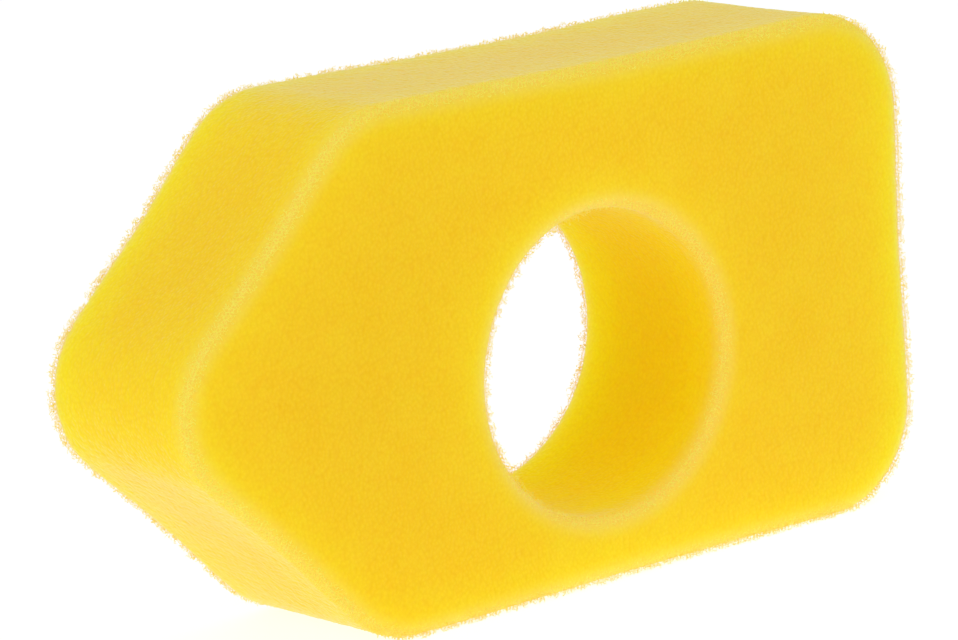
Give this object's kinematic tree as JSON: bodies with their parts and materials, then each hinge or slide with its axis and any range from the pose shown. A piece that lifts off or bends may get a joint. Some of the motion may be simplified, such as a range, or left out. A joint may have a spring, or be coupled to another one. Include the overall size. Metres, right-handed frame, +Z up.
{
  "type": "foam air filter element",
  "caption": "Flat block of open-cell foam with a pointed end, a square end, rounded corners and a round off-centre through hole; cleans the intake air of a small engine.",
  "frame": {"origin": "on the axis of the throat hole, at half the thickness of the block", "axes": "+X along the length towards the square end, +Y along the throat hole towards the seating face, +Z up across the width, so the block stands on one long edge"},
  "size_m": [0.11, 0.0254, 0.061],
  "materials": {
    "filter_foam": "yellow open-cell polyurethane foam, matte, fine cut cells, soft pale edges"
  },
  "bodies": {
    "root": {"foam_block": "filter_foam"}
  },
  "joints": []
}
